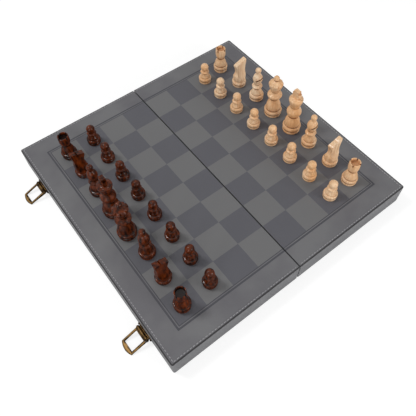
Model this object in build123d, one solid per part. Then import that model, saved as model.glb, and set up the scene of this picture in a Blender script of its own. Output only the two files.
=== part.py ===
from build123d import *
import os
from math import asin, atan2, cos, degrees, hypot, radians, sin

os.makedirs("parts", exist_ok=True)

# Frame: the origin is at the middle of the hinge, on the plane of the tray rims. X runs from the
# latch side to the catch side, Y runs along the hinge from the front to the back, Z is up.
# The box is open and lies face up, with both play faces on top and both trays facing down.

# Board and trays
square = 39.3
squares_per_side = 8
border_outer = 32.9
border_ends = 32.0
seam_gap = 1.8
tray_height = 33.0
wall_thickness = 9.0
leather = 0.9
core_thickness = 3.2
piping = 1.6
lining = 1.0
corner_radius = 2.5
rim_edge_radius = 1.6

# Continuous hinge
hinge_drop = 0.1
pin_radius = 0.45
leaf_thickness = 0.5
leaf_width = 9.0
hinge_inset = 2.0
knuckle_pairs = 8
knuckle_gap = 0.4
running_clearance = 0.05
fit_gap = 0.3

# Screws
screw_head_radius = 1.6
screw_radius = 0.8
screw_length = 5.0
screws_per_leaf = 6
plate_screw_head = 1.2
plate_screw_edge = 1.6

# Latches and catches
latch_spacing = 262.4
latch_axis_height = 8.6
latch_axis_out = 4.2
latch_width = 21.6
latch_length = 24.8
latch_bow = 3.1
latch_sheet = 0.8
latch_plate_rise = 0.4
latch_first_bar = 2.4
window_length = 15.6
window_width = 12.6
window_start = 5.4
flange_depth = 2.6
ear_radius = 1.9
latch_pin_radius = 0.8
latch_pin_head = 1.3
base_sheet = 1.0
base_width = 28.0
base_height = 9.0
catch_width = 10.0
catch_plate_width = 22.0
catch_plate_height = 9.0
catch_reach = 7.0
catch_sheet = 1.2

# Chessmen: radius of the base and full height of each kind
pawn_radius = 9.75
pawn_height = 33.5
rook_radius = 11.0
rook_height = 41.0
knight_radius = 10.8
knight_height = 47.0
bishop_radius = 10.9
bishop_height = 58.5
queen_radius = 13.0
queen_height = 72.0
king_radius = 13.2
king_height = 76.5
knight_thickness = 7.0
cross_thickness = 5.4
cross_notch = 2.2
cross_flare = 0.8
crown_notch_width = 2.0
crown_notch_depth = 6.0

kinds = {
    "pawn": (pawn_radius, pawn_height),
    "rook": (rook_radius, rook_height),
    "knight": (knight_radius, knight_height),
    "bishop": (bishop_radius, bishop_height),
    "queen": (queen_radius, queen_height),
    "king": (king_radius, king_height),
}

# The men were set down by hand: how far each stands off the middle of its square, in X and Y
set_down = {
    "light_rook_front": (1.0, 2.0),
    "light_knight_front": (2.5, 1.0),
    "light_bishop_front": (2.5, 4.0),
    "light_king": (2.0, 0.5),
    "light_queen": (2.0, 2.0),
    "light_bishop_rear": (2.5, 1.0),
    "light_knight_rear": (0.5, 1.0),
    "light_rook_rear": (-2.0, 5.5),
    "dark_rook_front": (-3.0, -2.5),
    "dark_queen": (-2.5, 0),
    "dark_bishop_front": (2.0, 0),
    "dark_knight_front": (-1.0, 0),
}
light_pawns_in = 2.0

half_squares = squares_per_side // 2
half_width = half_squares * square + border_outer
board_length = squares_per_side * square + 2 * border_ends
play_height = tray_height
wall_top = tray_height - leather - core_thickness
knuckle_radius = pin_radius + running_clearance + leaf_thickness
table = -hinge_drop - knuckle_radius


def block(x, y, z):
    """Box between two corners, each given as a pair of low and high values."""
    size = (x[1] - x[0], y[1] - y[0], z[1] - z[0])
    return Pos(x[0] + size[0] / 2, y[0] + size[1] / 2, z[0] + size[2] / 2) * Box(*size)


def footprint(side, inset, z, radius):
    """Block over one tray, drawn in by an inset on all four sides, with rounded upright corners."""
    x0 = seam_gap / 2 + inset
    x1 = seam_gap / 2 + half_width - inset
    y1 = board_length / 2 - inset
    x = sorted((side * x0, side * x1))
    body = block(x, (-y1, y1), z)
    if radius > 0:
        outer = body.edges().filter_by(Axis.Z).group_by(Axis.X)[-1 if side > 0 else 0]
        body = fillet(outer, radius)
    return body


def on_side(side, x):
    """Pair of X values on the left (-1) or right (1) tray, lowest first."""
    return tuple(sorted((side * x[0], side * x[1])))


# Trays

def piping_room(side):
    """Square ledge along the three outer top edges, where the piping lies."""
    outer = footprint(side, 0, (tray_height - piping, tray_height), corner_radius)
    inner_x = on_side(side, (0, seam_gap / 2 + half_width - piping))
    inner_y = board_length / 2 - piping
    return outer - block(inner_x, (-inner_y, inner_y), (0, 2 * tray_height))


def edge_piping(side):
    """The rounded rib that binds the three outer top edges of a tray."""
    outer = footprint(side, 0, (tray_height - 2 * piping, tray_height), corner_radius)
    top = outer.faces().sort_by(Axis.Z)[-1].edges()
    hinge_edge = top.sort_by(Axis.X)[0 if side > 0 else -1]
    rounded = fillet([e for e in top if e != hinge_edge], piping * 0.6)
    return piping_room(side) & rounded


def play_surface(side):
    """Printed leatherette sheet on top, sewn along its three outer edges."""
    x = on_side(side, (seam_gap / 2, seam_gap / 2 + half_width - piping))
    y = board_length / 2 - piping
    return block(x, (-y, y), (tray_height - leather, tray_height))


def core_panel(side):
    """Board under the play surface, laid on the walls and notched for the piping."""
    body = footprint(side, leather, (wall_top, tray_height - leather), corner_radius - leather)
    return body - piping_room(side)


def wall_frame(side):
    """Wooden frame of four walls, open below and above."""
    z = (leather, wall_top)
    outer = footprint(side, leather, z, corner_radius - leather)
    inner = footprint(side, wall_thickness, z, 0)
    body = outer - inner
    for centre in leaf_screw_places(side):
        body -= Pos(*centre) * Cylinder(screw_radius, 3 * screw_length)
    for centre in plate_screw_places(side):
        body -= Pos(*centre) * Rot(0, 90, 0) * Cylinder(screw_radius, 2 * screw_length)
    return body


def wrap(side):
    """Leatherette skin round the walls, turned in under the rim and let in for the hinge leaf."""
    z = (0, tray_height - leather)
    outer = footprint(side, 0, z, corner_radius)
    low = outer.faces().sort_by(Axis.Z)[0].edges().sort_by(Axis.X)[0 if side > 0 else -1]
    outer = fillet(low, rim_edge_radius)
    skin_room = footprint(side, leather, (leather, 2 * tray_height), corner_radius - leather)
    mouth = footprint(side, wall_thickness, (-1, 2 * leather), 0)
    body = outer - skin_room - mouth
    above = tray_height - piping
    outer_x = on_side(side, (seam_gap / 2 + leather, 2 * half_width))
    body -= block(outer_x, (-board_length, board_length), (above, 2 * tray_height))
    body -= piping_room(side)
    leaf_x = on_side(side, (0, leaf_width + fit_gap))
    leaf_y = board_length / 2 - hinge_inset + fit_gap
    body -= block(leaf_x, (-leaf_y, leaf_y), (-1, leaf_thickness + running_clearance))
    for centre in leaf_screw_places(side):
        body -= Pos(*centre) * Cylinder(screw_radius, 3 * screw_length)
    for centre in plate_screw_places(side):
        body -= Pos(*centre) * Rot(0, 90, 0) * Cylinder(screw_radius, 2 * screw_length)
    return body


def inner_lining(side):
    """Felt over the inside of a tray: a shallow box without a lid, open below."""
    gap = running_clearance
    z = (leather, wall_top)
    outer = footprint(side, wall_thickness + gap, z, 0)
    room = footprint(side, wall_thickness + gap + lining, (-1, wall_top - lining), 0)
    return outer - room


# Continuous hinge

def knuckle_spans(side):
    """Y spans of the knuckles of one leaf: the two leaves take turns along the hinge."""
    length = board_length - 2 * hinge_inset
    count = 2 * knuckle_pairs + 1
    pitch = length / count
    first = 0 if side < 0 else 1
    spans = []
    for k in range(first, count, 2):
        start = -length / 2 + k * pitch
        spans.append((start + knuckle_gap / 2, start + pitch - knuckle_gap / 2))
    return spans


def along_y(radius, span, x, z):
    """Rod along Y between two Y values."""
    length = span[1] - span[0]
    return Pos(x, (span[0] + span[1]) / 2, z) * Rot(90, 0, 0) * Cylinder(radius, length)


def leaf_screw_places(side):
    """Centres of the hinge screws of one leaf, on the rim plane."""
    pitch = board_length / screws_per_leaf
    x = side * (knuckle_radius + leaf_width) / 2
    return [(x, (k + 0.5) * pitch - board_length / 2, 0) for k in range(screws_per_leaf)]


def hinge_leaf(side):
    """One leaf of the continuous hinge, with its knuckles rolled round the pin."""
    half = board_length / 2 - hinge_inset
    x = on_side(side, (pin_radius + 2 * running_clearance, leaf_width))
    leaf = block(x, (-half, half), (0, leaf_thickness))
    free = knuckle_radius + running_clearance * 3
    for span in knuckle_spans(-side):
        wider = (span[0] - knuckle_gap, span[1] + knuckle_gap)
        leaf -= block((-free, free), wider, (-1, 1))
    for span in knuckle_spans(side):
        leaf += along_y(knuckle_radius, span, 0, -hinge_drop)
    leaf -= along_y(pin_radius + running_clearance, (-half - 1, half + 1), 0, -hinge_drop)
    for centre in leaf_screw_places(side):
        sink = Cone(screw_head_radius + running_clearance, screw_radius, leaf_thickness)
        leaf -= Pos(centre[0], centre[1], leaf_thickness / 2) * sink
    return leaf


def hinge_pin():
    """Wire that runs through all the knuckles."""
    half = board_length / 2 - hinge_inset
    return along_y(pin_radius, (-half, half), 0, -hinge_drop)


def leaf_screws(side):
    """Countersunk screws that hold a leaf up against the rim."""
    screws = []
    for x, y, z in leaf_screw_places(side):
        head = Pos(x, y, leaf_thickness / 2) * Cone(screw_head_radius, screw_radius, leaf_thickness)
        shank = Cylinder(screw_radius - running_clearance, screw_length)
        screws.append(head + Pos(x, y, leaf_thickness + screw_length / 2) * shank)
    return screws


# Latches

def latch_slope():
    """Angle at which a freed latch hangs with its tip on the table."""
    reach = latch_length + latch_bow
    drop = latch_axis_height - (table + running_clearance)
    return degrees(atan2(latch_plate_rise, reach) + asin(drop / hypot(reach, latch_plate_rise)))


def latch_places():
    return {"front": -latch_spacing / 2, "rear": latch_spacing / 2}


def latch_axis_x():
    return -(seam_gap / 2 + half_width + latch_axis_out)


def plate_screw_places(side):
    """Centres of the screws of the latch bases (left) or of the catches (right), on the wall."""
    x = side * (seam_gap / 2 + half_width)
    width = base_width if side < 0 else catch_plate_width
    height = latch_axis_height if side < 0 else catch_height() + catch_sheet / 2
    offset = width / 2 - plate_screw_edge
    return [(x, y + s * offset, height) for y in latch_places().values() for s in (-1, 1)]


def place_latch(part, y):
    """From the latch's own frame (reach along -X, plate above) to its hanging place."""
    return Pos(latch_axis_x(), y, latch_axis_height) * Rot(0, -latch_slope(), 0) * part


def latch_outline():
    """Plan of the latch plate: straight sides and a bowed end."""
    half = latch_width / 2
    with_bow = latch_length + latch_bow
    start = latch_first_bar
    sides = Polyline((-latch_length, half), (-start, half), (-start, -half), (-latch_length, -half))
    bow = ThreePointArc((-latch_length, -half), (-with_bow, 0), (-latch_length, half))
    return make_face([*sides.edges(), *bow.edges()])


def latch_flange(y):
    """Side flange, deep round the pin and tapering to the bowed end."""
    top = latch_plate_rise + latch_sheet
    deep = flange_depth
    tip = -latch_length + 0.6
    profile = Polyline(
        (tip, top), (tip, latch_plate_rise), (-window_start, -deep), (0, -deep),
    )
    nose = ThreePointArc((0, -deep), (deep, 0), (0, deep))
    back = Polyline((0, deep), (-latch_first_bar, top), (tip, top))
    face = make_face([*profile.edges(), *nose.edges(), *back.edges()])
    return Pos(0, y + latch_sheet / 2, 0) * Rot(90, 0, 0) * extrude(face, latch_sheet)


def latch_frame():
    """Stamped frame with a window, a bowed end and two flanges that turn on the pin."""
    plate = Pos(0, 0, latch_plate_rise) * extrude(latch_outline(), latch_sheet)
    window = block(
        (-window_start - window_length, -window_start),
        (-window_width / 2, window_width / 2),
        (-1, 5),
    )
    window = fillet(window.edges().filter_by(Axis.Z), 2.0)
    frame = plate - window
    offset = (latch_width - latch_sheet) / 2
    for y in (-offset, offset):
        frame += latch_flange(y)
    frame -= along_y(latch_pin_radius + running_clearance, (-latch_width, latch_width), 0, 0)
    return frame


def latch_base(y):
    """Wall plate with rounded ends and two ears that carry the pin."""
    wall = -(seam_gap / 2 + half_width)
    outline = Rot(0, -90, 0) * SlotOverall(base_width, base_height, rotation=90)
    plate = Pos(wall, y, latch_axis_height) * extrude(outline, base_sheet)
    axis = latch_axis_x()
    ear_at = latch_width / 2 - latch_sheet - fit_gap - base_sheet / 2
    for s in (-1, 1):
        span = (y + s * ear_at - base_sheet / 2, y + s * ear_at + base_sheet / 2)
        web = block(
            (axis, wall), span, (latch_axis_height - ear_radius, latch_axis_height + ear_radius)
        )
        plate += web + along_y(ear_radius, span, axis, latch_axis_height)
    hole = latch_pin_radius + running_clearance
    plate -= along_y(hole, (y - latch_width, y + latch_width), axis, latch_axis_height)
    for centre in plate_screw_places(-1):
        plate -= Pos(*centre) * Rot(0, 90, 0) * Cylinder(screw_radius, 3 * base_sheet)
    return plate


def latch_pin(y):
    """Rivet through the two ears and the two flanges, with a head at each end."""
    x, z = latch_axis_x(), latch_axis_height
    grip = latch_width / 2 + fit_gap
    pin = along_y(latch_pin_radius, (y - grip, y + grip), x, z)
    for s in (-1, 1):
        head = sorted((y + s * grip, y + s * (grip + 0.8)))
        pin += along_y(latch_pin_head, head, x, z)
    return pin


def catch_height():
    """Height of a catch tongue on the right wall, so that it lies in the closed latch's window."""
    window_end = window_start + window_length
    return window_end - 0.4 - catch_sheet - latch_axis_height - 2 * hinge_drop


def catch(y):
    """Wall plate with a tongue that stands out through the latch window, with a rolled lip."""
    wall = seam_gap / 2 + half_width
    z0 = catch_height()
    middle = z0 + catch_sheet / 2
    outline = Rot(0, 90, 0) * SlotOverall(catch_plate_width, catch_plate_height, rotation=90)
    plate = Pos(wall, y, middle) * extrude(outline, base_sheet)
    span = (y - catch_width / 2, y + catch_width / 2)
    tongue = block((wall, wall + catch_reach - catch_sheet / 2), span, (z0, z0 + catch_sheet))
    lip = along_y(catch_sheet * 0.7, span, wall + catch_reach - catch_sheet * 0.7, z0 + 0.5)
    body = plate + tongue + lip
    for centre in plate_screw_places(1):
        body -= Pos(*centre) * Rot(0, 90, 0) * Cylinder(screw_radius, 3 * base_sheet)
    return body


def plate_screws(side):
    """Round-headed screws of the latch bases or of the catches."""
    screws = []
    for x, y, z in plate_screw_places(side):
        face = x + side * base_sheet
        head = Pos(face, y, z) * Rot(0, side * 90, 0) * Pos(0, 0, 0.4)
        head = head * Cylinder(plate_screw_head, 0.8)
        shank = Pos(face, y, z) * Rot(0, -side * 90, 0) * Pos(0, 0, screw_length / 2)
        screws.append(head + shank * Cylinder(screw_radius - running_clearance, screw_length))
    return screws


# Chessmen

def turned(kind, outline):
    """Body turned from an outline of radius and height shares, closed along the axis."""
    radius, height = kinds[kind]
    points = [(0, 0)] + [(r * radius, z * height) for r, z in outline]
    if points[-1][0] > 0:
        points.append((0, points[-1][1]))
    face = make_face(Polyline(*points, close=True))
    return revolve(Plane.XZ * face, Axis.Z)


def foot(low, groove, high, shoulder, crease):
    """Base disc, groove, upper disc and rounded shoulder, as shares of radius and height."""
    return [
        (0.97, 0), (1.0, low * 0.15), (1.0, low), (0.93, groove), (0.985, groove + low * 0.25),
        (0.97, high), (shoulder, crease),
    ]


def ball(radius, centre, squash, first=-60):
    """Upper part of a turned ball: shares of base radius, and of height through squash."""
    angles = [first, -25, 10, 42, 68]
    arc = [(radius * cos(radians(a)), centre + radius * squash * sin(radians(a))) for a in angles]
    return arc + [(0, centre + radius * squash)]


def slenderness(kind):
    radius, height = kinds[kind]
    return radius / height


def pawn():
    outline = foot(0.10, 0.125, 0.24, 0.70, 0.30)
    outline += [(0.62, 0.33), (0.44, 0.47), (0.62, 0.545), (0.64, 0.58), (0.46, 0.62)]
    r = 0.64
    centre = 1 - r * slenderness("pawn")
    return turned("pawn", outline + ball(r, centre, slenderness("pawn"), -45))


def rook():
    outline = foot(0.095, 0.12, 0.235, 0.82, 0.285)
    outline += [
        (0.82, 0.31), (0.74, 0.42), (0.52, 0.59), (0.50, 0.63), (0.63, 0.72), (0.67, 0.82),
        (0.67, 1.0), (0.50, 1.0), (0.50, 0.92),
    ]
    body = turned("rook", outline)
    radius, height = kinds["rook"]
    for k in range(3):
        slot = Box(2 * radius, 0.17 * radius, 0.16 * height)
        body -= Pos(0, 0, height) * Rot(0, 0, 30 + 60 * k) * slot
    return body


def bishop():
    outline = foot(0.065, 0.085, 0.155, 0.75, 0.19)
    outline += [
        (0.73, 0.21), (0.66, 0.27), (0.44, 0.38), (0.68, 0.405), (0.70, 0.43), (0.44, 0.50),
        (0.42, 0.53), (0.62, 0.60), (0.67, 0.66), (0.58, 0.73), (0.31, 0.81), (0.24, 0.825),
    ]
    r = 0.38
    centre = 1 - r * slenderness("bishop")
    body = turned("bishop", outline + ball(r, centre, slenderness("bishop"), -45))
    radius, height = kinds["bishop"]
    cut = Pos(0, -0.62 * radius, 0.71 * height) * Rot(-35, 0, 0)
    return body - cut * Box(2 * radius, radius, 0.014 * height)


def queen():
    outline = foot(0.045, 0.055, 0.125, 0.76, 0.175)
    outline += [
        (0.82, 0.20), (0.78, 0.26), (0.66, 0.33), (0.44, 0.42), (0.56, 0.46), (0.80, 0.515),
        (0.80, 0.545), (0.50, 0.57), (0.43, 0.65), (0.62, 0.71), (0.75, 0.79), (0.74, 0.82),
        (0.55, 0.875), (0.26, 0.90),
    ]
    r = 0.30
    centre = 1 - r * slenderness("queen")
    body = turned("queen", outline + ball(r, centre, slenderness("queen"), -45))
    radius, height = kinds["queen"]
    for k in range(8):
        tool = Rot(0, -35, 0) * Box(0.5 * radius, crown_notch_width, crown_notch_depth)
        body -= Rot(0, 0, 22.5 + 45 * k) * Pos(0.86 * radius, 0, 0.84 * height) * tool
    return body


def king():
    outline = foot(0.055, 0.07, 0.125, 0.78, 0.20)
    outline += [
        (0.83, 0.215), (0.78, 0.27), (0.50, 0.39), (0.62, 0.44), (0.77, 0.50), (0.76, 0.535),
        (0.50, 0.59), (0.46, 0.63), (0.60, 0.70), (0.71, 0.785), (0.70, 0.805), (0.52, 0.815),
        (0.40, 0.83),
    ]
    radius, height = kinds["king"]
    half = 0.46 * radius
    low, arm, top = 0.82 * height, 0.91 * height, height
    inner, outer = cross_notch, cross_notch + cross_flare
    cross = Polyline(
        (-0.26 * radius, low), (-0.20 * radius, arm - inner), (-half, arm - outer),
        (-half, arm + outer), (-0.20 * radius, arm + inner), (-0.28 * radius, top),
        (0.28 * radius, top), (0.20 * radius, arm + inner), (half, arm + outer),
        (half, arm - outer), (0.20 * radius, arm - inner), (0.26 * radius, low), close=True,
    )
    slab = extrude(Plane.YZ * make_face(cross), cross_thickness / 2, both=True)
    return turned("king", outline) + slab


def knight(facing):
    """Round blank sawn to a horse's head: its profile from the side, and a slab from the front."""
    radius, height = kinds["knight"]
    base = turned("knight", foot(0.065, 0.085, 0.165, 0.80, 0.205))
    blank = turned("knight", [(0.82, 0), (0.82, 0.19), (0.90, 0.80), (0.90, 1.0)])
    side = Polyline(
        (0.82, 0.17), (0.80, 0.30), (0.70, 0.50), (0.74, 0.74), (0.90, 0.96), (0.86, 1.0),
        (-0.78, 0.857), (-0.82, 0.78), (-0.76, 0.73), (-0.42, 0.64), (-0.46, 0.50),
        (-0.74, 0.36), (-0.82, 0.17), close=True,
    )
    half = knight_thickness / 2 / radius
    front = Polyline(
        (0.82, 0.17), (0.66, 0.30), (half, 0.50), (half, 1.1), (-half, 1.1), (-half, 0.50),
        (-0.66, 0.30), (-0.82, 0.17), close=True,
    )
    side = scale(make_face(side), (radius, height, 1))
    front = scale(make_face(front), (radius, height, 1))
    head = blank & extrude(Plane.XZ * side, radius, both=True)
    head = head & extrude(Plane.YZ * front, radius, both=True)
    body = base + head
    return body if facing < 0 else Rot(0, 0, 180) * body


def column(k):
    """X of a column of squares: 1 to 4 on the right, -1 to -4 on the left."""
    side = 1 if k > 0 else -1
    return side * (seam_gap / 2 + (abs(k) - 0.5) * square)


def row(j):
    """Y of a row of squares, from 1 at the front to 8 at the back."""
    return (j - 0.5 - squares_per_side / 2) * square


def chessmen():
    """All 32 men on their squares. The light army stands right, the dark army left."""
    makers = {"rook": rook, "bishop": bishop, "queen": queen, "king": king, "pawn": pawn}
    light_rank = ["rook", "knight", "bishop", "king", "queen", "bishop", "knight", "rook"]
    dark_rank = ["rook", "knight", "bishop", "queen", "king", "bishop", "knight", "rook"]
    men = {}
    for army, side, rank in (("light", 1, light_rank), ("dark", -1, dark_rank)):
        for j, kind in enumerate(rank, start=1):
            man = knight(-side) if kind == "knight" else makers[kind]()
            name = f"{army}_{kind}"
            if kind not in ("king", "queen"):
                name += "_front" if j <= 4 else "_rear"
            dx, dy = set_down.get(name, (0, 0))
            men[name] = Pos(column(side * 4) + dx, row(j) + dy, play_height) * man
            forward = light_pawns_in if army == "light" else 0
            place = Pos(column(side * 3) + forward, row(j), play_height)
            men[f"{army}_pawn_{j}"] = place * pawn()
    return men


def tray_parts(side):
    name = "left" if side < 0 else "right"
    return {
        f"{name}_play_surface": play_surface(side),
        f"{name}_core_panel": core_panel(side),
        f"{name}_wall_frame": wall_frame(side),
        f"{name}_wrap": wrap(side),
        f"{name}_piping": edge_piping(side),
        f"{name}_lining": inner_lining(side),
        f"{name}_hinge_leaf": hinge_leaf(side),
        f"{name}_hinge_screws": Compound(children=leaf_screws(side)),
    }


def hardware():
    parts = {"hinge_pin": hinge_pin()}
    for name, y in latch_places().items():
        parts[f"{name}_latch_base"] = latch_base(y)
        parts[f"{name}_latch_frame"] = place_latch(latch_frame(), y)
        parts[f"{name}_latch_pin"] = latch_pin(y)
        parts[f"{name}_catch"] = catch(y)
    parts["latch_screws"] = Compound(children=plate_screws(-1))
    parts["catch_screws"] = Compound(children=plate_screws(1))
    return parts


model = {**tray_parts(-1), **tray_parts(1), **hardware(), **chessmen()}
for node, shape in model.items():
    export_step(shape, f"parts/{node}.step")
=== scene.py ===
from math import atan2, cos, pi, radians, sin

import bmesh
import bpy
from mathutils import Matrix, Vector


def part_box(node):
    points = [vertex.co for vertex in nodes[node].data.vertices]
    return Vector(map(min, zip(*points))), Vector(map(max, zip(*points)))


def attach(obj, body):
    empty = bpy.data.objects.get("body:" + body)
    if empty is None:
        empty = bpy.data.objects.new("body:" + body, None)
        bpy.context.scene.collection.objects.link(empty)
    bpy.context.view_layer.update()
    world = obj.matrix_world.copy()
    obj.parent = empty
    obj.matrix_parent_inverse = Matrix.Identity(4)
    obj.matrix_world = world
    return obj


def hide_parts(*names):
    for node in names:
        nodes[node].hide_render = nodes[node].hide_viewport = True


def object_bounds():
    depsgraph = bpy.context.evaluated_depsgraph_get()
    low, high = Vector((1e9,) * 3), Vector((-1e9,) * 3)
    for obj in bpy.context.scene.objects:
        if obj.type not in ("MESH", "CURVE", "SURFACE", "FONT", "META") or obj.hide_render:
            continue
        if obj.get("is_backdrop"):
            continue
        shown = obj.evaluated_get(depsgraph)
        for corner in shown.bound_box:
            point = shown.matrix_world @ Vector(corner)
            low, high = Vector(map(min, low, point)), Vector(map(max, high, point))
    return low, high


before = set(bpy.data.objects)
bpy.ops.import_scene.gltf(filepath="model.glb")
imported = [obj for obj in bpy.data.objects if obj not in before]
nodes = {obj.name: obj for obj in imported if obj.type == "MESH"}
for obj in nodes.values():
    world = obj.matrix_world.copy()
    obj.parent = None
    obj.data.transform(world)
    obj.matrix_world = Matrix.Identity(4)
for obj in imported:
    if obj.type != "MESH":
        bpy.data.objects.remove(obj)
cad_low, cad_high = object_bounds()
mm = 0.001


# Studio: a sheet of matt white paper under four soft lamps, in a white room. The part stands on its
# hinge knuckles, one millimetre below the plane of the rims, so the paper lies at its lowest point.

paper_reach = 6.0
paper_fill = 0.65
paper_glow = 1.17


def linear(code):
    """Linear colour from an sRGB hex value."""
    channels = [int(code[i:i + 2], 16) / 255 for i in (1, 3, 5)]
    return [c / 12.92 if c <= 0.04045 else ((c + 0.055) / 1.055) ** 2.4 for c in channels] + [1.0]


def add(tree, kind, inputs=None, **settings):
    """Adds a node: settings are its properties, inputs are values or sockets to link from."""
    node = tree.nodes.new("ShaderNode" + kind)
    for name, value in settings.items():
        setattr(node, name, value)
    for key, value in (inputs or {}).items():
        if isinstance(value, bpy.types.NodeSocket):
            tree.links.new(value, node.inputs[key])
        else:
            node.inputs[key].default_value = value
    return node


def new_material(name):
    """Empty node material: returns it, its tree and its output node."""
    material = bpy.data.materials.new(name)
    material.use_nodes = True
    material.node_tree.nodes.clear()
    return material, material.node_tree, add(material.node_tree, "OutputMaterial")


def paper_white():
    """Matt coated paper, rolled smooth: white, with the object's soft shadow and no gloss. Part of
    the white is a glow that only the camera sees. From underneath the paper lets the view through."""
    material, tree, out = new_material("matt_white_paper")
    place = add(tree, "TexCoord").outputs["Object"]
    fibre = add(tree, "TexNoise", {"Vector": place, "Scale": 1000 / 2.5})
    bump = add(tree, "Bump", {"Height": fibre.outputs[0], "Strength": 0.05, "Distance": 0.1 * mm})
    shaded = add(tree, "BsdfDiffuse", {"Color": linear("#ffffff"), "Normal": bump.outputs[0]})
    white = add(tree, "Emission", {"Color": linear("#ffffff"), "Strength": paper_glow})
    ray = add(tree, "LightPath")
    clear = add(tree, "Math", {0: ray.outputs["Is Camera Ray"], 1: paper_fill},
                operation="MULTIPLY")
    above = add(tree, "MixShader", {0: clear.outputs[0], 1: shaded.outputs[0],
                                    2: white.outputs[0]})
    underneath = add(tree, "NewGeometry").outputs["Backfacing"]
    open_air = add(tree, "BsdfTransparent")
    shader = add(tree, "MixShader", {0: underneath, 1: above.outputs[0],
                                     2: open_air.outputs[0]})
    tree.links.new(shader.outputs[0], out.inputs[0])
    return material


scene = bpy.context.scene
scene.view_settings.view_transform = "Standard"

# The camera is matched to the view of the photograph.
camera_data = bpy.data.cameras.new("camera")
camera_data.lens = 41.67
camera_data.shift_x = -0.0154
camera_data.shift_y = -0.0377
camera = bpy.data.objects.new("camera", camera_data)
camera.location = (-0.2277, -0.3210, 0.5746)
camera.rotation_euler = [radians(a) for a in (33.06, 0.53, -37.65)]
scene.collection.objects.link(camera)
scene.camera = camera

for name, place, size, watts in (
    ("overhead_softbox", (0.1, 0.35, 1.5), 1.0, 2.0),
    ("window_softbox", (-0.6, 0.6, 1.5), 0.35, 9.5),
    ("front_softbox", (0.6, -1.4, 0.6), 0.6, 8.5),
    ("left_softbox", (-1.3, -0.8, 0.5), 0.6, 5.5),
):
    lamp_data = bpy.data.lights.new(name, "AREA")
    lamp_data.size = size
    lamp_data.energy = watts
    lamp = bpy.data.objects.new(name, lamp_data)
    lamp.location = place
    lamp.rotation_euler = (-Vector(place)).to_track_quat("-Z", "Y").to_euler()
    scene.collection.objects.link(lamp)

# The room is white to the eye and in reflections, but lights the part only faintly.
world = bpy.data.worlds.new("studio_room")
world.use_nodes = True
scene.world = world
room = world.node_tree
room.nodes.clear()
ray = add(room, "LightPath")
seen = add(room, "Math", {0: ray.outputs["Is Camera Ray"], 1: ray.outputs["Is Glossy Ray"]},
           operation="MAXIMUM")
seen = add(room, "Math", {0: seen.outputs[0], 1: ray.outputs["Is Transmission Ray"]},
           operation="MAXIMUM")
dim = add(room, "Background", {"Color": linear("#ffffff"), "Strength": 0.3})
bright = add(room, "Background", {"Color": linear("#ffffff"), "Strength": 1.0})
sky = add(room, "MixShader", {0: seen.outputs[0], 1: dim.outputs[0], 2: bright.outputs[0]})
room.links.new(sky.outputs[0], add(room, "OutputWorld").inputs[0])

floor_mesh = bpy.data.meshes.new("studio_floor")
corners = [(x * paper_reach, y * paper_reach, 0) for x, y in ((-1, -1), (1, -1), (1, 1), (-1, 1))]
floor_mesh.from_pydata(corners, [], [(0, 1, 2, 3)])
studio_floor = bpy.data.objects.new("studio_floor", floor_mesh)
studio_floor.location.z = cad_low[2]
floor_mesh.materials.append(paper_white())
scene.collection.objects.link(studio_floor)
studio_floor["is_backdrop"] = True


# Wraps: polyurethane leatherette on a woven backing, embossed with a pebble grain and glued round
# the wooden walls of each tray. It is a shade lighter than the printed top.

def grained(name, colour, dark, roughness, grain_mm, depth_mm):
    """Embossed leatherette: pebbles with shallow valleys darkened by painted shade, a faint cloudiness
    and a satin skin.
    """
    material, tree, out = new_material(name)
    place = add(tree, "TexCoord").outputs["Object"]
    warp = add(tree, "TexNoise", {"Vector": place, "Scale": 1000 / (4 * grain_mm), "Detail": 2.0})
    shifted = add(tree, "MixRGB", {0: 0.002, 1: place, 2: warp.outputs["Color"]})
    pebble = add(tree, "TexVoronoi", {"Vector": shifted.outputs[0], "Scale": 1000 / grain_mm},
                 feature="DISTANCE_TO_EDGE")
    valley = add(tree, "MapRange", {0: pebble.outputs["Distance"], 2: 0.22}, clamp=True)
    cloud = add(tree, "TexNoise", {"Vector": place, "Scale": 1000 / 35, "Detail": 4.0})
    tint = add(tree, "MapRange", {0: cloud.outputs[0], 1: 0.35, 2: 0.65, 3: 0.0, 4: 0.35})
    skin = add(tree, "MixRGB", {0: tint.outputs[0], 1: linear(colour), 2: linear(dark)})
    # Painted shade: the valleys between the pebbles are mixed towards the dark colour.
    valley_shade = add(tree, "MapRange", {0: valley.outputs[0], 3: 0.45, 4: 0.0})
    shade = add(tree, "MixRGB", {0: valley_shade.outputs[0], 1: skin.outputs[0], 2: linear(dark)})
    bump = add(tree, "Bump", {"Height": valley.outputs[0], "Strength": 0.6,
                              "Distance": depth_mm * mm})
    gloss = add(tree, "MapRange", {0: cloud.outputs[0], 3: roughness - 0.06, 4: roughness + 0.08})
    shader = add(tree, "BsdfPrincipled", {"Base Color": shade.outputs[0], "IOR": 1.5,
                                          "Roughness": gloss.outputs[0], "Normal": bump.outputs[0],
                                          "Specular IOR Level": 0.3})
    tree.links.new(shader.outputs[0], out.inputs[0])
    return material


def dress(node, material):
    """Gives a CAD node its finish."""
    nodes[node].data.materials.clear()
    nodes[node].data.materials.append(material)


wrap_leatherette = grained("embossed_wrap_leatherette", "#79797b", "#636366", roughness=0.48,
                           grain_mm=1.3, depth_mm=0.12)
for side in ("left", "right"):
    dress(side + "_wrap", wrap_leatherette)


# Walls and panels: the wooden core of each tray, sawn from pine and glued. Top, wrap and lining
# cover it, so it hardly shows.

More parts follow.
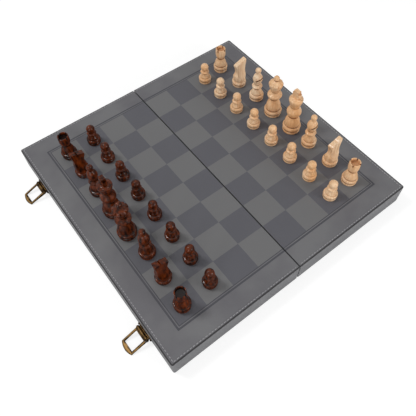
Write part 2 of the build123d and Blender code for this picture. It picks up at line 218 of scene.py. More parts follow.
def sawn_pine():
    """Sawn pine: pale, with darker grain lines 4 mm apart and 80 mm long, along the long walls."""
    material, tree, out = new_material("sawn_pine")
    place = add(tree, "TexCoord").outputs["Object"]
    stretched = add(tree, "Mapping", {"Vector": place, "Scale": (1000 / 4, 1000 / 80, 1000 / 4)})
    grain = add(tree, "TexNoise", {"Vector": stretched.outputs[0], "Scale": 1.0, "Detail": 5.0})
    colour = add(tree, "MixRGB", {0: grain.outputs[0], 1: linear("#d9b483"), 2: linear("#a87c4c")})
    bump = add(tree, "Bump", {"Height": grain.outputs[0], "Strength": 0.3, "Distance": 0.1 * mm})
    shader = add(tree, "BsdfPrincipled", {"Base Color": colour.outputs[0], "Roughness": 0.7,
                                          "Normal": bump.outputs[0]})
    tree.links.new(shader.outputs[0], out.inputs[0])
    return material


pine = sawn_pine()
for side in ("left", "right"):
    dress(side + "_wall_frame", pine)
    dress(side + "_core_panel", pine)


# Linings: short-pile black felt, glued to the walls and to the roof of each tray. They show only
# from below.

def flocked_felt():
    """Flocked felt: nearly black, no gloss, with a soft sheen from the upright fibres."""
    material, tree, out = new_material("flocked_black_felt")
    place = add(tree, "TexCoord").outputs["Object"]
    pile = add(tree, "TexNoise", {"Vector": place, "Scale": 1000 / 0.6, "Detail": 3.0})
    patch = add(tree, "TexNoise", {"Vector": place, "Scale": 1000 / 25})
    mixed = add(tree, "Math", {0: pile.outputs[0], 1: patch.outputs[0]}, operation="MULTIPLY")
    tint = add(tree, "MapRange", {0: mixed.outputs[0], 1: 0.1, 2: 0.5})
    colour = add(tree, "MixRGB", {0: tint.outputs[0], 1: linear("#131315"), 2: linear("#2e2e32")})
    bump = add(tree, "Bump", {"Height": pile.outputs[0], "Strength": 0.7, "Distance": 0.3 * mm})
    shader = add(tree, "BsdfPrincipled", {
        "Base Color": colour.outputs[0], "Roughness": 0.95, "Normal": bump.outputs[0],
        "Sheen Weight": 0.4, "Sheen Roughness": 0.5})
    tree.links.new(shader.outputs[0], out.inputs[0])
    return material


felt = flocked_felt()
for side in ("left", "right"):
    dress(side + "_lining", felt)


# Edge binding: the cut edges of top and wrap are folded together and painted dark, which draws the
# dark line round the three outer top edges.

binding = grained("painted_edge_binding", "#2b2a2c", "#1c1b1d", roughness=0.5, grain_mm=1.6,
                  depth_mm=0.06)
for side in ("left", "right"):
    dress(side + "_piping", binding)


# Play surfaces: smooth leatherette with the squares screen-printed on it, darker ones in slate ink.
# A thin line and a wider band run round the printed board, across both halves.

square = 39.3 * mm
line_width = 1.3 * mm
band_middle = 3.7 * mm
band_width = 2.4 * mm
sewn_x = 187.1 * mm
sewn_y = 186.2 * mm
seam_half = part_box("right_play_surface")[0].x
top_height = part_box("right_play_surface")[1].z


def printed_top():
    """Printed leatherette: fine grain, matt slate ink on a grey skin, drawn in along the stitches."""
    material, tree, out = new_material("printed_leatherette_top")
    place = add(tree, "TexCoord").outputs["Object"]
    xyz = add(tree, "SeparateXYZ", {0: place})

    away = add(tree, "Math", {0: xyz.outputs[0]}, operation="ABSOLUTE").outputs[0]
    deep = add(tree, "Math", {0: xyz.outputs[1]}, operation="ABSOLUTE").outputs[0]
    across = add(tree, "Math", {0: away, 1: seam_half}, operation="SUBTRACT").outputs[0]

    # The pattern is counted from the seam and from the middle of the board, in whole squares.
    board = add(tree, "CombineXYZ", {0: across, 1: xyz.outputs[1]})
    checks = add(tree, "Mapping", {"Vector": board.outputs[0], "Location": (1.0, 4.0, 0.5),
                                   "Scale": (1 / square, 1 / square, 0.0)})
    checker = add(tree, "TexChecker", {"Vector": checks.outputs[0], "Scale": 1.0})
    left = add(tree, "Math", {0: xyz.outputs[0], 1: 0.0}, operation="LESS_THAN")
    light = add(tree, "Math", {0: checker.outputs[1], 1: left.outputs[0], 2: 0.1},
                operation="COMPARE").outputs[0]

    out_x = add(tree, "Math", {0: across, 1: 4 * square}, operation="SUBTRACT")
    out_y = add(tree, "Math", {0: deep, 1: 4 * square}, operation="SUBTRACT")
    outside = add(tree, "Math", {0: out_x.outputs[0], 1: out_y.outputs[0]},
                  operation="MAXIMUM").outputs[0]
    in_grid = add(tree, "Math", {0: outside, 1: 0.0}, operation="LESS_THAN").outputs[0]
    line = add(tree, "Math", {0: outside, 1: line_width / 2, 2: line_width / 2},
               operation="COMPARE")
    band = add(tree, "Math", {0: outside, 1: band_middle, 2: band_width / 2}, operation="COMPARE")
    frame_ink = add(tree, "Math", {0: line.outputs[0], 1: band.outputs[0]},
                    operation="MAXIMUM").outputs[0]
    dark = add(tree, "Math", {0: 1.0, 1: light}, operation="SUBTRACT")
    dark = add(tree, "Math", {0: in_grid, 1: dark.outputs[0]}, operation="MULTIPLY").outputs[0]
    ink = add(tree, "Math", {0: dark, 1: frame_ink}, operation="MAXIMUM").outputs[0]
    light_square = add(tree, "Math", {0: in_grid, 1: light}, operation="MULTIPLY").outputs[0]

    cloud = add(tree, "TexNoise", {"Vector": place, "Scale": 1000 / 60, "Detail": 3.0})
    fine = add(tree, "TexNoise", {"Vector": place, "Scale": 1000 / 0.9, "Detail": 2.0})
    cells = add(tree, "TexVoronoi", {"Vector": place, "Scale": 1000 / 1.0},
                feature="DISTANCE_TO_EDGE")
    cloudy = add(tree, "MapRange", {0: cloud.outputs[0], 1: 0.35, 2: 0.65})
    skin = add(tree, "MixRGB", {0: cloudy.outputs[0], 1: linear("#626165"), 2: linear("#707072")})
    skin = add(tree, "MixRGB", {0: light_square, 1: skin.outputs[0], 2: linear("#6c6c6d")})
    worn = add(tree, "MapRange", {0: fine.outputs[0], 1: 0.3, 2: 0.7, 3: 1.0, 4: 0.85})
    inked = add(tree, "Math", {0: ink, 1: worn.outputs[0]}, operation="MULTIPLY")
    shades = add(tree, "MixRGB", {0: frame_ink, 1: linear("#57575d"), 2: linear("#434349")})
    colour = add(tree, "MixRGB", {0: inked.outputs[0], 1: skin.outputs[0], 2: shades.outputs[0]})

    side = add(tree, "Math", {0: sewn_x, 1: away}, operation="SUBTRACT")
    end = add(tree, "Math", {0: sewn_y, 1: deep}, operation="SUBTRACT")
    nearer = add(tree, "Math", {0: side.outputs[0], 1: end.outputs[0]}, operation="MINIMUM")
    off_row = add(tree, "Math", {0: nearer.outputs[0]}, operation="ABSOLUTE")
    groove = add(tree, "MapRange", {0: off_row.outputs[0], 2: 1.4 * mm, 3: -0.6, 4: 0.0},
                 interpolation_type="SMOOTHSTEP")
    pebbles = add(tree, "MapRange", {0: cells.outputs["Distance"], 2: 0.25, 4: 0.16})
    relief = add(tree, "Math", {0: fine.outputs[0], 1: 0.1, 2: pebbles.outputs[0]},
                 operation="MULTIPLY_ADD")
    height = add(tree, "Math", {0: groove.outputs[0], 1: relief.outputs[0]}, operation="ADD")
    bump = add(tree, "Bump", {"Height": height.outputs[0], "Strength": 0.8,
                              "Distance": 0.35 * mm})
    gloss = add(tree, "MapRange", {0: ink, 3: 0.46, 4: 0.55})
    shader = add(tree, "BsdfPrincipled", {"Base Color": colour.outputs[0], "IOR": 1.5,
                                          "Roughness": gloss.outputs[0], "Normal": bump.outputs[0],
                                          "Specular IOR Level": 0.3})
    tree.links.new(shader.outputs[0], out.inputs[0])
    return material


top_leatherette = printed_top()
for side in ("left", "right"):
    dress(side + "_play_surface", top_leatherette)


# Stitches: twisted polyester thread, pale grey, lockstitched through the top at 4.4 mm along the
# three outer edges of each half.

stitch_pitch = 4.4 * mm
stitch_length = 2.9 * mm
thread_radius = 0.40 * mm
first_stitch = 2.2 * mm


def twisted_thread():
    """Polyester thread: pale, slightly glossy, with the slant of its twist, 1.4 mm from ply to ply,
    which is coarser than in real thread so that it shows."""
    material, tree, out = new_material("twisted_polyester_thread")
    place = add(tree, "TexCoord").outputs["Object"]
    turned = add(tree, "Mapping", {"Vector": place, "Rotation": (0.0, 0.0, pi / 4)})
    ply = add(tree, "TexWave", {"Vector": turned.outputs[0], "Scale": 1000 / 1.381 * pi / 10})
    colour = add(tree, "MixRGB", {0: ply.outputs[0], 1: linear("#9b9a9d"), 2: linear("#b0afb2")})
    bump = add(tree, "Bump", {"Height": ply.outputs[0], "Strength": 0.5, "Distance": 0.1 * mm})
    shader = add(tree, "BsdfPrincipled", {"Base Color": colour.outputs[0], "Roughness": 0.45,
                                          "Normal": bump.outputs[0]})
    tree.links.new(shader.outputs[0], out.inputs[0])
    return material


def stitch_rows(side):
    """Start, direction and length of the three stitched rows of one half."""
    near = seam_half + first_stitch
    return [
        (Vector((side * near, -sewn_y)), Vector((side, 0)), sewn_x - near),
        (Vector((side * sewn_x, -sewn_y)), Vector((0, 1)), 2 * sewn_y),
        (Vector((side * near, sewn_y)), Vector((side, 0)), sewn_x - near),
    ]


def add_stitch(bm, middle, along):
    """One stitch: a short arched thread whose ends dip into the leatherette."""
    across = Vector((-along.y, along.x))
    sides = 8
    rings = []
    for share, lift, thick in ((-0.5, -0.25, 0.45), (-0.38, 0.1, 0.9), (-0.12, 0.35, 1.0),
                               (0.12, 0.35, 1.0), (0.38, 0.1, 0.9), (0.5, -0.25, 0.45)):
        ring = []
        for k in range(sides):
            a = 2 * pi * k / sides
            flat = middle + along * (share * stitch_length) + across * (thread_radius * thick * cos(a))
            z = top_height + thread_radius * (lift + thick * sin(a))
            ring.append(bm.verts.new((flat.x, flat.y, z)))
        rings.append(ring)
    for one, two in zip(rings, rings[1:]):
        for k in range(sides):
            n = (k + 1) % sides
            bm.faces.new((one[k], one[n], two[n], two[k]))
    bm.faces.new(rings[0][::-1])
    bm.faces.new(rings[-1])


def finished(name, bm, material, body):
    """Turns a bmesh into a piece with its finish, riding on a CAD body; sharp corners stay crisp."""
    crisp = radians(38)
    bmesh.ops.recalc_face_normals(bm, faces=bm.faces)
    for edge in bm.edges:
        edge.smooth = len(edge.link_faces) != 2 or edge.calc_face_angle() < crisp
    mesh = bpy.data.meshes.new(name)
    bm.to_mesh(mesh)
    bm.free()
    mesh.materials.append(material)
    for face in mesh.polygons:
        face.use_smooth = True
    piece = bpy.data.objects.new(name, mesh)
    scene.collection.objects.link(piece)
    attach(piece, body)
    return piece


thread = twisted_thread()
for side, name in ((-1, "left"), (1, "right")):
    bm = bmesh.new()
    for start, along, length in stitch_rows(side):
        count = round(length / stitch_pitch)
        for k in range(count):
            add_stitch(bm, start + along * ((k + 0.5) * length / count), along)
    stitches = finished(name + "_edge_stitches", bm, thread, name + "_tray")


# Hinge: a continuous strip hinge of blackened steel, rolled round a wire pin and screwed to both
# rims. From above, only its end shows, below the seam.

def blackened_steel():
    """Blackened rolled steel: dark and half dull, with rolling lines 1.1 mm apart along the strip,
    coarser than real ones so that they show."""
    material, tree, out = new_material("blackened_rolled_steel")
    place = add(tree, "TexCoord").outputs["Object"]
    stretched = add(tree, "Mapping", {"Vector": place, "Scale": (1000 / 1.1, 1000 / 65, 1000 / 1.1)})
    lines = add(tree, "TexNoise", {"Vector": stretched.outputs[0], "Scale": 1.0, "Detail": 4.0})
    rub = add(tree, "TexNoise", {"Vector": place, "Scale": 1000 / 12, "Detail": 5.0})
    colour = add(tree, "MixRGB", {0: rub.outputs[0], 1: linear("#1b1b1c"), 2: linear("#3a3836")})
    gloss = add(tree, "MapRange", {0: lines.outputs[0], 3: 0.32, 4: 0.55})
    bump = add(tree, "Bump", {"Height": lines.outputs[0], "Strength": 0.2, "Distance": 0.05 * mm})
    shader = add(tree, "BsdfPrincipled", {
        "Base Color": colour.outputs[0], "Metallic": 1.0, "Roughness": gloss.outputs[0],
        "Normal": bump.outputs[0]})
    tree.links.new(shader.outputs[0], out.inputs[0])
    return material


steel = blackened_steel()
for node in ("left_hinge_leaf", "right_hinge_leaf", "left_hinge_screws", "right_hinge_screws",
             "hinge_pin"):
    dress(node, steel)


# Latches and catches: stamped sheet brass, chemically darkened and then rubbed back, so that it is
# brown in the hollows and golden on the edges. Wire pins and small round-headed screws hold them.

def antiqued_brass():
    """Antiqued stamped brass: dark brown patina, worn through to golden metal where it is rubbed."""
    material, tree, out = new_material("antiqued_stamped_brass")
    place = add(tree, "TexCoord").outputs["Object"]
    patina = add(tree, "TexNoise", {"Vector": place, "Scale": 1000 / 7, "Detail": 6.0})
    speck = add(tree, "TexNoise", {"Vector": place, "Scale": 1000 / 0.8, "Detail": 3.0})
    rubbed = add(tree, "VertexColor", layer_name="rubbed")
    spots = add(tree, "MapRange", {0: patina.outputs[0], 1: 0.42, 2: 0.62, 3: -0.15, 4: 0.3})
    worn = add(tree, "Math", {0: rubbed.outputs[0], 1: spots.outputs[0]}, operation="ADD")
    colour = add(tree, "MixRGB", {0: worn.outputs[0], 1: linear("#20170f"), 2: linear("#8a6c42")})
    gloss = add(tree, "MapRange", {0: speck.outputs[0], 3: 0.25, 4: 0.5})
    bump = add(tree, "Bump", {"Height": speck.outputs[0], "Strength": 0.3, "Distance": 0.05 * mm})
    shader = add(tree, "BsdfPrincipled", {
        "Base Color": colour.outputs[0], "Metallic": 1.0, "Roughness": gloss.outputs[0],
        "Normal": bump.outputs[0]})
    tree.links.new(shader.outputs[0], out.inputs[0])
    return material


brass = antiqued_brass()
for end in ("front", "rear"):
    for part in ("latch_base", "latch_pin", "catch"):
        dress(f"{end}_{part}", brass)
dress("latch_screws", brass)
dress("catch_screws", brass)


# Latch frames: one stamping each, a crowned rim, rubbed bright, round a large window with a bowed
# end, two side flanges on the pin and a barrel rolled round it. A strip folded from the base,
# between its ears, keeps the barrel off the leatherette. Sizes are in millimetres from the pin.

latch_slope = radians(21.06)
latch_half = 10.8
latch_near = 2.4
latch_far = 24.8
latch_bow = 3.1
window_half = 7.7
window_near = 3.6
window_far = 22.1
table_drop = 9.66
roll_radius = 2.5
roll_bore = 1.7
roll_half = 8.6
lap_height = 0.25
half_sheet = 0.4
flange_far = 23.5
flange_top = 0.9
flange_tip = 0.1
flange_corner = 8.0
flange_middle = 10.4
pin_hole = 0.95
strip_size = (0.6, 17.0, 5.6)
strip_off_pin = 2.85
strip_edge = 0.2
flange_rub = 0.2
barrel_rub = 0.12


def layer(bm, name):
    """Colour layer on the corners of a mesh, made if it isn't there yet."""
    return bm.verts.layers.float_color.get(name) or bm.verts.layers.float_color.new(name)


def tube(bm, rings):
    """Skin over rings of points, the last joined to the first; each point carries how rubbed it is."""
    rub = layer(bm, "rubbed")
    skins = []
    for ring in rings:
        skins.append([bm.verts.new(Vector(point[:3]) * mm) for point in ring])
        for vert, point in zip(skins[-1], ring):
            vert[rub] = (point[3], point[3], point[3], 1.0)
    for one, two in zip(skins, skins[1:] + skins[:1]):
        for k in range(len(one)):
            n = (k + 1) % len(one)
            bm.faces.new((one[k], one[n], two[n], two[k]))


def loop(near, far, half, bow):
    """Closed outline: a bar near the pin, two sides, and a far end that bows out between them."""
    bar = [(-near, half * (k / 4 - 1)) for k in range(9)]
    side = [(-near - (far - near) * k / 8, half) for k in range(1, 9)]
    end = [(-far - bow * (1 - (k / 8 - 1) ** 2), half * (1 - k / 8)) for k in range(1, 16)]
    back = [(-far + (far - near) * k / 8, -half) for k in range(8)]
    return bar + side + end + back


def rim(bm):
    """Crowned rim between the edge of the latch and its window, clear of the table at its tip. Its
    section gives the share of the way in, the height and how rubbed each point is."""
    section = ((0.0, -0.3, 0.0), (0.0, 0.7, 0.0), (0.14, 1.0, 0.35), (0.30, 1.2, 1.0),
               (0.50, 1.2, 0.7), (0.70, 1.0, 0.05), (1.0, 0.55, 0.0), (1.0, 0.0, 0.0),
               (0.88, 0.15, 0.0), (0.3, 0.4, 0.0), (0.12, -0.3, 0.0))
    rings = []
    for a, b in zip(loop(latch_near, latch_far, latch_half, latch_bow),
                    loop(window_near, window_far, window_half, 0.0)):
        ring = []
        for t, z, rub in section:
            x = a[0] + (b[0] - a[0]) * t
            table = (-x * sin(latch_slope) - table_drop) / cos(latch_slope)
            ring.append((x, a[1] + (b[1] - a[1]) * t, max(z, table), rub))
        rings.append(ring)
    tube(bm, rings)


def flange(bm, y):
    """Side flange, deep round the pin and tapering towards the bowed end, with the pin's hole."""
    rings = []
    for k in range(24):
        a = 2 * pi * k / 24
        x, z = roll_radius * cos(a), roll_radius * sin(a)
        if cos(a) < -0.05:
            x = -flange_far if abs(sin(a)) < 0.9 else -latch_near - flange_corner * (1 - abs(sin(a)))
            taper = (-x - latch_near) / (flange_far - latch_near)
            z = flange_top if sin(a) > 0 else -roll_radius + (roll_radius + flange_tip) * taper
        hole_x, hole_z = pin_hole * cos(a), pin_hole * sin(a)
        rings.append([(x, y - half_sheet, z, flange_rub), (x, y + half_sheet, z, flange_rub),
                      (hole_x, y + half_sheet, hole_z, 0.0), (hole_x, y - half_sheet, hole_z, 0.0)])
    tube(bm, rings)


def barrel(bm):
    """Sheet rolled round the pin between the ears, with a slight lap where its end meets the rim."""
    rings = []
    for k in range(32):
        a = 2 * pi * k / 32
        lap = lap_height if cos(a) < -0.8 else 0.0
        outer = (roll_radius * cos(a) - lap, roll_radius * sin(a))
        inner = (roll_bore * cos(a), roll_bore * sin(a))
        rings.append([(x, y, z, barrel_rub) for (x, z), y in (
            (outer, -roll_half), (outer, roll_half), (inner, roll_half), (inner, -roll_half))])
    tube(bm, rings)


for end in ("front", "rear"):
    low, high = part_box(end + "_latch_pin")
    pin = (low + high) / 2
    bm = bmesh.new()
    rim(bm)
    flange(bm, -flange_middle)
    flange(bm, flange_middle)
    barrel(bm)
    hang = Matrix.Translation(pin) @ Matrix.Rotation(-latch_slope, 4, "Y")
    bmesh.ops.transform(bm, matrix=hang, verts=bm.verts)
    stamping = finished(end + "_latch_stamping", bm, brass, end + "_latch")
    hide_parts(end + "_latch_frame")

    bm = bmesh.new()
    bmesh.ops.create_cube(bm, size=1.0)
    for vert in bm.verts:
        vert.co *= Vector(strip_size) * mm
        vert.co += pin + Vector((strip_off_pin * mm, 0, 0))
    bmesh.ops.bevel(bm, geom=bm.edges[:], offset=strip_edge * mm, segments=2, affect="EDGES")
    layer(bm, "rubbed")
    backing = finished(end + "_latch_backing", bm, brass, "left_tray")


# Chessmen: turned from close-grained wood. The light army is boxwood under satin lacquer, the dark
# army is the same wood stained red-brown under gloss lacquer. Their grooves carry painted shade.

def turned_wood(name, pale, deep, streak, groove, patch_mm, roughness, coat, coat_roughness):
    """Turned wood: streaks along the grain, about 2.4 mm wide and 26 mm long, with broader patches
    of colour, grooves darkened with painted shade, and lacquer that lies on it as a clear skin."""
    material, tree, out = new_material(name)
    place = add(tree, "TexCoord").outputs["Object"]
    stretched = add(tree, "Mapping", {"Vector": place,
                                      "Scale": (1000 / 2.381, 1000 / 2.381, 1000 / 26.32)})
    grain = add(tree, "TexNoise", {"Vector": stretched.outputs[0], "Scale": 1.0, "Detail": 6.0,
                                   "Distortion": 0.6})
    upright = add(tree, "Mapping", {"Vector": place, "Scale": (1.0, 1.0, 0.35)})
    broad = add(tree, "TexNoise", {"Vector": upright.outputs[0], "Scale": 1000 / patch_mm,
                                   "Detail": 2.0})
    streaks = add(tree, "MapRange", {0: grain.outputs[0], 1: 0.38, 2: 0.66})
    patches = add(tree, "MapRange", {0: broad.outputs[0], 1: 0.32, 2: 0.68})
    base = add(tree, "MixRGB", {0: patches.outputs[0], 1: linear(pale), 2: linear(deep)})
    part = add(tree, "Math", {0: streaks.outputs[0], 1: 0.5}, operation="MULTIPLY")
    grained_wood = add(tree, "MixRGB", {0: part.outputs[0], 1: base.outputs[0],
                                        2: linear(streak)})
    # Painted shade: the groove colour is mixed in by how deep each point lies in a groove.
    groove_shade = add(tree, "VertexColor", layer_name="groove")
    colour = add(tree, "MixRGB", {0: groove_shade.outputs[0], 1: grained_wood.outputs[0],
                                  2: linear(groove)})
    bump = add(tree, "Bump", {"Height": grain.outputs[0], "Strength": 0.15, "Distance": 0.1 * mm})
    shader = add(tree, "BsdfPrincipled", {
        "Base Color": colour.outputs[0], "Roughness": roughness, "IOR": 1.5,
        "Specular IOR Level": 0.05, "Coat Weight": coat, "Coat Roughness": coat_roughness,
        "Normal": bump.outputs[0]})
    tree.links.new(shader.outputs[0], out.inputs[0])
    return material


# The fourth colour of each wood is the painted shade in its grooves.
boxwood = turned_wood("satin_lacquered_boxwood", "#fae3c4", "#efbc88", "#cf935c", "#8a5226",
                      patch_mm=45, roughness=0.42, coat=0.3, coat_roughness=0.14)
stained = turned_wood("gloss_lacquered_stained_wood", "#1d0904", "#70300f", "#0f0402", "#080302",
                      patch_mm=4, roughness=0.35, coat=0.26, coat_roughness=0.03)
finishes = {"light": (boxwood, "light_wood"), "dark": (stained, "dark_wood")}


def curve(*points, steps=4):
    """Smooth line through points, as a gouge leaves it."""
    line = []
    for k in range(len(points) - 1):
        p0, p1 = points[max(k - 1, 0)], points[k]
        p2, p3 = points[k + 1], points[min(k + 2, len(points) - 1)]
        for s in range(steps):
            t = s / steps
            line.append(tuple(
                0.5 * (2 * b + (c - a) * t + (2 * a - 5 * b + 4 * c - d) * t * t
                       + (3 * b - a - 3 * c + d) * t ** 3)
                for a, b, c, d in zip(p0, p1, p2, p3)))
    return line + [points[-1]]


def softened(points, reach=0.22 * mm):
    """Takes the sharp corners off an outline, as sandpaper does, and keeps its ends."""
    cut = [points[0]]
    for before, here, after in zip(points, points[1:], points[2:]):
        for other in (before, after):
            gap = ((other[0] - here[0]) ** 2 + (other[1] - here[1]) ** 2) ** 0.5
            share = min(0.3, reach / gap) if gap > 0 else 0
            cut.append(tuple(h + (o - h) * share for h, o in zip(here, other)))
    return cut + [points[-1]]


def groove_depth(outline, k, window=2.2 * mm):
    """How deep a point of an outline lies between what is above and below it, from 0 to 1."""
    r, z = outline[k]
    under = max([q[0] for q in outline[:k] if z - q[1] < window], default=0.0)
    over = max([q[0] for q in outline[k + 1:] if q[1] - z < window], default=0.0)
    return min(1.0, max(0.0, (min(under, over) - r) / (0.6 * mm)))


def turn(bm, outline, sides=48):
    """Turned body from an outline of radius and height, closed at the axis at both ends."""
    painted_shade = layer(bm, "groove")
    rings = []
    for index, (r, z) in enumerate(outline):
        count = sides if r > 1e-6 else 1
        # Painted shade: each ring gets how deep it lies in a groove, its share of the groove colour.
        groove_shade = groove_depth(outline, index) if 0 < z < outline[-1][1] else 0.0
        ring = []
        for k in range(count):
            a = 2 * pi * k / sides
            vert = bm.verts.new((r * cos(a), r * sin(a), z))
            vert[painted_shade] = (groove_shade, groove_shade, groove_shade, 1.0)
            ring.append(vert)
        rings.append(ring)
    for one, two in zip(rings, rings[1:]):
        for k in range(sides):
            n = (k + 1) % sides
            if len(one) == 1 and len(two) > 1:
                bm.faces.new((one[0], two[n], two[k]))
            elif len(two) == 1 and len(one) > 1:
                bm.faces.new((one[k], one[n], two[0]))
            elif len(one) > 1:
                bm.faces.new((one[k], one[n], two[n], two[k]))


def foot(low, groove, high, ledge):
    """Base disc, groove, rounded ring and the crease above it, as shares of radius and height."""
    t = high - groove
    ring = curve((0.91, groove + 0.05 * t), (0.98, groove + 0.25 * t), (1.0, groove + 0.5 * t),
                 (0.98, groove + 0.8 * t), (0.92, high))
    return [(0.92, 0), (0.955, low * 0.15), (0.955, low * 0.80), (0.92, low), (0.85, groove),
            *ring, (ledge - 0.01, high + 0.005), (ledge - 0.04, high + 0.02)]


def ball(radius, centre, squash, first):
    """Upper part of a turned ball, up to the axis."""
    angles = [first + (90 - first) * k / 9 for k in range(10)]
    return [(max(radius * cos(radians(a)), 0), centre + radius * squash * sin(radians(a)))
            for a in angles]


def stand(name, bm, node):
    """Sets a man down in the place of its CAD node and lets it stand for that node."""
    low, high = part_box(node)
    middle = (low + high) / 2
    for vert in bm.verts:
        vert.co += Vector((middle.x, middle.y, low.z))
    wood, slot = finishes[node.split("_")[0]]
    piece = finished(name, bm, wood, node)
    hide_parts(node)


def size_of(node):
    """Radius of the base and height of a man, from its CAD node."""
    low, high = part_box(node)
    return (high.x - low.x) / 2, high.z - low.z


def body_outline(node, shares):
    """Outline in metres, from the axis at the base, up the side, to the axis at the top."""
    radius, height = size_of(node)
    points = [(0.0, 0.0), (0.80 * radius, 0.0)]
    points += [(r * radius, z * height) for r, z in shares]
    return softened(points)


men = [n for n in sorted(nodes) if n.startswith(("light_", "dark_"))]


# Pawns: a ball on a thin collar and a short waisted body, over the foot that all the men share: a
# disc, a groove and a rounded ring.

for node in [n for n in men if "pawn" in n]:
    radius, height = size_of(node)
    lean = radius / height
    shares = foot(0.10, 0.125, 0.255, 0.74)
    shares += curve((0.75, 0.295), (0.70, 0.34), (0.53, 0.42), (0.42, 0.50), (0.40, 0.53))
    shares += [(0.44, 0.535), (0.66, 0.55), (0.70, 0.575), (0.66, 0.60), (0.44, 0.612)]
    shares += ball(0.62, 1 - 0.62 * lean, lean, -48)
    bm = bmesh.new()
    turn(bm, body_outline(node, shares))
    stand(node + "_turned", bm, node)


# Bishops: a pointed mitre with a slanted saw cut, over a collar, and a small ball on top. The cut
# faces another way on each, as the men were set down by hand.

def plain(bm):
    """Marks a whole body as free of painted groove shade."""
    painted_shade = layer(bm, "groove")
    for vert in bm.verts:
        vert[painted_shade] = (0.0, 0.0, 0.0, 1.0)
    return bm


def carved(bm, tool, operation="DIFFERENCE"):
    """Cuts, crosses or joins two closed bodies and returns what comes of it."""
    made = []
    for part in (bm, tool):
        bmesh.ops.recalc_face_normals(part, faces=part.faces)
        mesh = bpy.data.meshes.new("carving")
        part.to_mesh(mesh)
        part.free()
        made.append(bpy.data.objects.new("carving", mesh))
        scene.collection.objects.link(made[-1])
    cut = made[0].modifiers.new("cut", "BOOLEAN")
    cut.operation = operation
    cut.solver = "EXACT"
    cut.object = made[1]
    bpy.context.view_layer.update()
    result = bmesh.new()
    result.from_object(made[0], bpy.context.evaluated_depsgraph_get())
    for one in made:
        bpy.data.objects.remove(one)
    return result


def saw_cut(size, *moves):
    """Block of the given size, moved by the matrices in turn: what a saw takes away."""
    saw = bmesh.new()
    bmesh.ops.create_cube(saw, size=1.0)
    place = Matrix.Identity(4)
    for move in moves:
        place = place @ move
    bmesh.ops.transform(saw, matrix=place @ Matrix.Diagonal((*size, 1)), verts=saw.verts)
    return plain(saw)


saw_turn = {"light_bishop_front": -62, "light_bishop_rear": -75, "dark_bishop_front": 10,
            "dark_bishop_rear": 60}
saw_tilt = -32
saw_width = 0.024
saw_height = 0.70
saw_off_axis = 0.54
for node in [n for n in men if "bishop" in n]:
    radius, height = size_of(node)
    lean = radius / height
    shares = foot(0.065, 0.085, 0.165, 0.76)
    shares += curve((0.77, 0.195), (0.75, 0.23), (0.60, 0.30), (0.47, 0.355), (0.44, 0.385))
    shares += [(0.52, 0.388), (0.69, 0.405), (0.715, 0.425), (0.68, 0.445), (0.52, 0.455)]
    shares += curve((0.50, 0.46), (0.45, 0.485), (0.44, 0.515))
    shares += curve((0.47, 0.525), (0.61, 0.60), (0.67, 0.66), (0.60, 0.735), (0.44, 0.79),
                    (0.30, 0.825))
    shares += ball(0.40, 1 - 0.40 * lean, lean, -45)
    bm = bmesh.new()
    turn(bm, body_outline(node, shares))
    saw = saw_cut((radius, 2 * radius, saw_width * height),
                  Matrix.Translation((0, 0, saw_height * height)),
                  Matrix.Rotation(radians(saw_turn[node]), 4, "Z"),
                  Matrix.Translation((saw_off_axis * radius, 0, 0)),
                  Matrix.Rotation(radians(saw_tilt), 4, "Y"))
    stand(node + "_turned", carved(bm, saw), node)


# Queens: a flared crown with a dome and a ball on top, over a dished collar. Eight scallops are cut
# into the rim of the crown.

scallops = 8
scallop_depth = 0.22
crown_rim = 0.815
crown_reach = 0.055
for node in [n for n in men if "queen" in n]:
    radius, height = size_of(node)
    lean = radius / height
    shares = foot(0.05, 0.062, 0.14, 0.78)
    shares += curve((0.80, 0.165), (0.83, 0.20), (0.77, 0.27), (0.63, 0.34), (0.50, 0.395),
                    (0.46, 0.43))
    shares += curve((0.50, 0.435), (0.68, 0.465), (0.80, 0.50), (0.82, 0.525))
    shares += [(0.80, 0.54), (0.64, 0.55), (0.62, 0.565)]
    shares += curve((0.54, 0.57), (0.46, 0.60), (0.44, 0.64))
    shares += curve((0.47, 0.645), (0.60, 0.69), (0.72, 0.745), (0.80, 0.805))
    shares += [(0.79, 0.82), *curve((0.72, 0.83), (0.52, 0.865), (0.30, 0.888)), (0.24, 0.895)]
    shares += ball(0.32, 1 - 0.32 * lean, lean, -45)
    bm = bmesh.new()
    turn(bm, body_outline(node, shares), sides=96)
    for vert in bm.verts:
        off_rim = abs(vert.co.z / height - crown_rim)
        if off_rim < crown_reach:
            dip = max(0.0, cos(scallops * atan2(vert.co.y, vert.co.x) + pi)) ** 4
            shrink = 1 - scallop_depth * dip * (1 - off_rim / crown_reach)
            vert.co.x *= shrink
            vert.co.y *= shrink
    stand(node + "_turned", bm, node)


# Rooks: a tower with a hollowed top and four notches, made by two saw cuts across the rim. The
# hollow is painted darker, as painted shade in the recess.

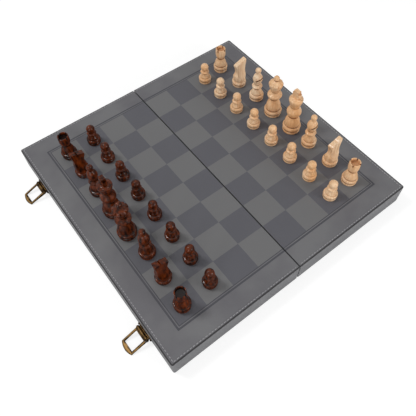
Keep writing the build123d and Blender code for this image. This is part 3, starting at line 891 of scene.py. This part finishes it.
# How much painted shade the hollow gets on light and dark rooks.
hollow_shade = {"light": 0.35, "dark": 0.9}
hollow_radius = 0.545
hollow_floor = 0.8
cut_turn = 20
cut_width = 0.13
cut_depth = 0.05
for node in [n for n in men if "rook" in n]:
    radius, height = size_of(node)
    shares = foot(0.095, 0.12, 0.24, 0.80)
    shares += curve((0.82, 0.275), (0.83, 0.32), (0.72, 0.43), (0.57, 0.53), (0.48, 0.61))
    shares += curve((0.52, 0.62), (0.62, 0.66), (0.68, 0.72), (0.70, 0.80), (0.69, 0.90))
    shares += [(0.68, 0.985), (0.67, 1.0), (0.57, 1.0), (0.55, 0.985), (0.53, 0.86), (0.0, 0.84)]
    bm = bmesh.new()
    turn(bm, body_outline(node, shares))
    painted_shade = bm.verts.layers.float_color["groove"]
    # Painted shade in the hollow.
    for vert in bm.verts:
        if vert.co.z > hollow_floor * height and vert.co.xy.length < hollow_radius * radius:
            vert[painted_shade] = [hollow_shade[node.split("_")[0]]] * 3 + [1.0]
    for k in range(2):
        bm = carved(bm, saw_cut((2 * radius, cut_width * radius, 2 * cut_depth * height),
                                Matrix.Translation((0, 0, height)),
                                Matrix.Rotation(radians(cut_turn + 90 * k), 4, "Z")))
    stand(node + "_turned", bm, node)


# Kings: a flared crown over a rounded collar, with a cross let into its top. The cross is sawn from
# a board, narrow where its arms meet, with its edges eased.

def sawn(outline, axis, thickness):
    """Board sawn to an outline, which is drawn as seen along the axis."""
    bm = bmesh.new()
    ends = []
    for side in (-thickness / 2, thickness / 2):
        points = [(side, a, z) if axis == 0 else (a, side, z) for a, z in outline]
        ends.append([bm.verts.new(point) for point in points])
    bm.faces.new(ends[0])
    bm.faces.new(ends[1][::-1])
    for k in range(len(outline)):
        n = (k + 1) % len(outline)
        bm.faces.new((ends[0][k], ends[0][n], ends[1][n], ends[1][k]))
    return plain(bm)


cross_thickness = 6.0 * mm
cross_edge = 0.5 * mm
for node in [n for n in men if "king" in n]:
    radius, height = size_of(node)
    shares = foot(0.055, 0.07, 0.145, 0.79)
    shares += curve((0.81, 0.17), (0.84, 0.21), (0.77, 0.28), (0.62, 0.34), (0.51, 0.385))
    shares += curve((0.55, 0.39), (0.68, 0.42), (0.78, 0.47), (0.77, 0.515), (0.66, 0.55),
                    (0.53, 0.59), (0.49, 0.63))
    shares += curve((0.52, 0.64), (0.62, 0.69), (0.71, 0.745), (0.75, 0.785))
    shares += [(0.74, 0.805), (0.58, 0.812), (0.54, 0.825), (0.40, 0.833), (0.0, 0.835)]
    bm = bmesh.new()
    turn(bm, body_outline(node, shares))
    arm = 0.91 * height
    half = 0.46 * radius
    quarter = [(0.30 * radius, 0.82 * height), (0.24 * radius, arm - 2.4 * mm),
               (half, arm - 3.2 * mm), (half, arm + 3.2 * mm), (0.24 * radius, arm + 2.4 * mm),
               (0.34 * radius, height)]
    cross = sawn(quarter + [(-y, z) for y, z in reversed(quarter)], 0, cross_thickness)
    bmesh.ops.bevel(cross, geom=cross.edges[:], offset=cross_edge, segments=2, affect="EDGES")
    cross_mesh = bpy.data.meshes.new("cross")
    plain(cross).to_mesh(cross_mesh)
    cross.free()
    bm.from_mesh(cross_mesh)
    stand(node + "_turned", bm, node)


# Knights: a turned foot and a head sawn from the round blank. The top slants up from the nose to a
# small notch, deeper on the dark ones, and the slab flares into a round chest towards the foot.

front_edge = curve((-0.80, 0.18), (-0.86, 0.25), (-0.85, 0.34), (-0.76, 0.405))
front_edge += curve((-0.62, 0.46), (-0.55, 0.52), (-0.57, 0.61), (-0.67, 0.71))
front_edge += [(-0.76, 0.765), (-0.83, 0.80), (-0.84, 0.85), (-0.80, 0.862)]
back_edge = [(0.88, 1.0), (0.91, 0.985)]
back_edge += curve((0.88, 0.93), (0.80, 0.82), (0.74, 0.68), (0.74, 0.54), (0.80, 0.38),
                   (0.83, 0.26), (0.80, 0.18))
flank = [(0.86, 0.17), (0.80, 0.24)]
flank += curve((0.80, 0.24), (0.62, 0.335), (0.45, 0.425), (0.36, 0.52), (0.325, 0.64))
flank += [(0.32, 1.1)]
notch_depth = {"light": 0.012, "dark": 0.04}
top_slant = 0.082
for node in [n for n in men if "knight" in n]:
    radius, height = size_of(node)
    facing = -1 if node.startswith("dark") else 1
    nose_x, nose_z = front_edge[-1]
    notch = [(x, nose_z + (x - nose_x) * top_slant - drop * notch_depth[node.split("_")[0]])
             for x, drop in ((0.02, 0), (0.12, 1), (0.20, 0))]
    side_view = [(facing * x * radius, z * height) for x, z in front_edge + notch + back_edge]
    front_view = [(y * radius, z * height) for y, z in flank + [(-y, z) for y, z in flank[::-1]]]
    blank = bmesh.new()
    turn(blank, [(0, 0.17 * height), (0.80 * radius, 0.17 * height), (0.85 * radius, 0.24 * height),
                 (0.90 * radius, 0.40 * height), (0.91 * radius, 0.8 * height),
                 (0.91 * radius, 1.05 * height), (0, 1.05 * height)])
    head = carved(plain(blank), sawn(side_view, 1, 4 * radius), "INTERSECT")
    head = carved(head, sawn(front_view, 0, 4 * radius), "INTERSECT")
    bm = bmesh.new()
    shares = foot(0.065, 0.085, 0.175, 0.80) + [(0.74, 0.215), (0.0, 0.22)]
    turn(bm, body_outline(node, shares))
    stand(node + "_carved", carved(bm, head, "UNION"), node)


# Finished: the box of the dressed part is taken.

low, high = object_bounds()
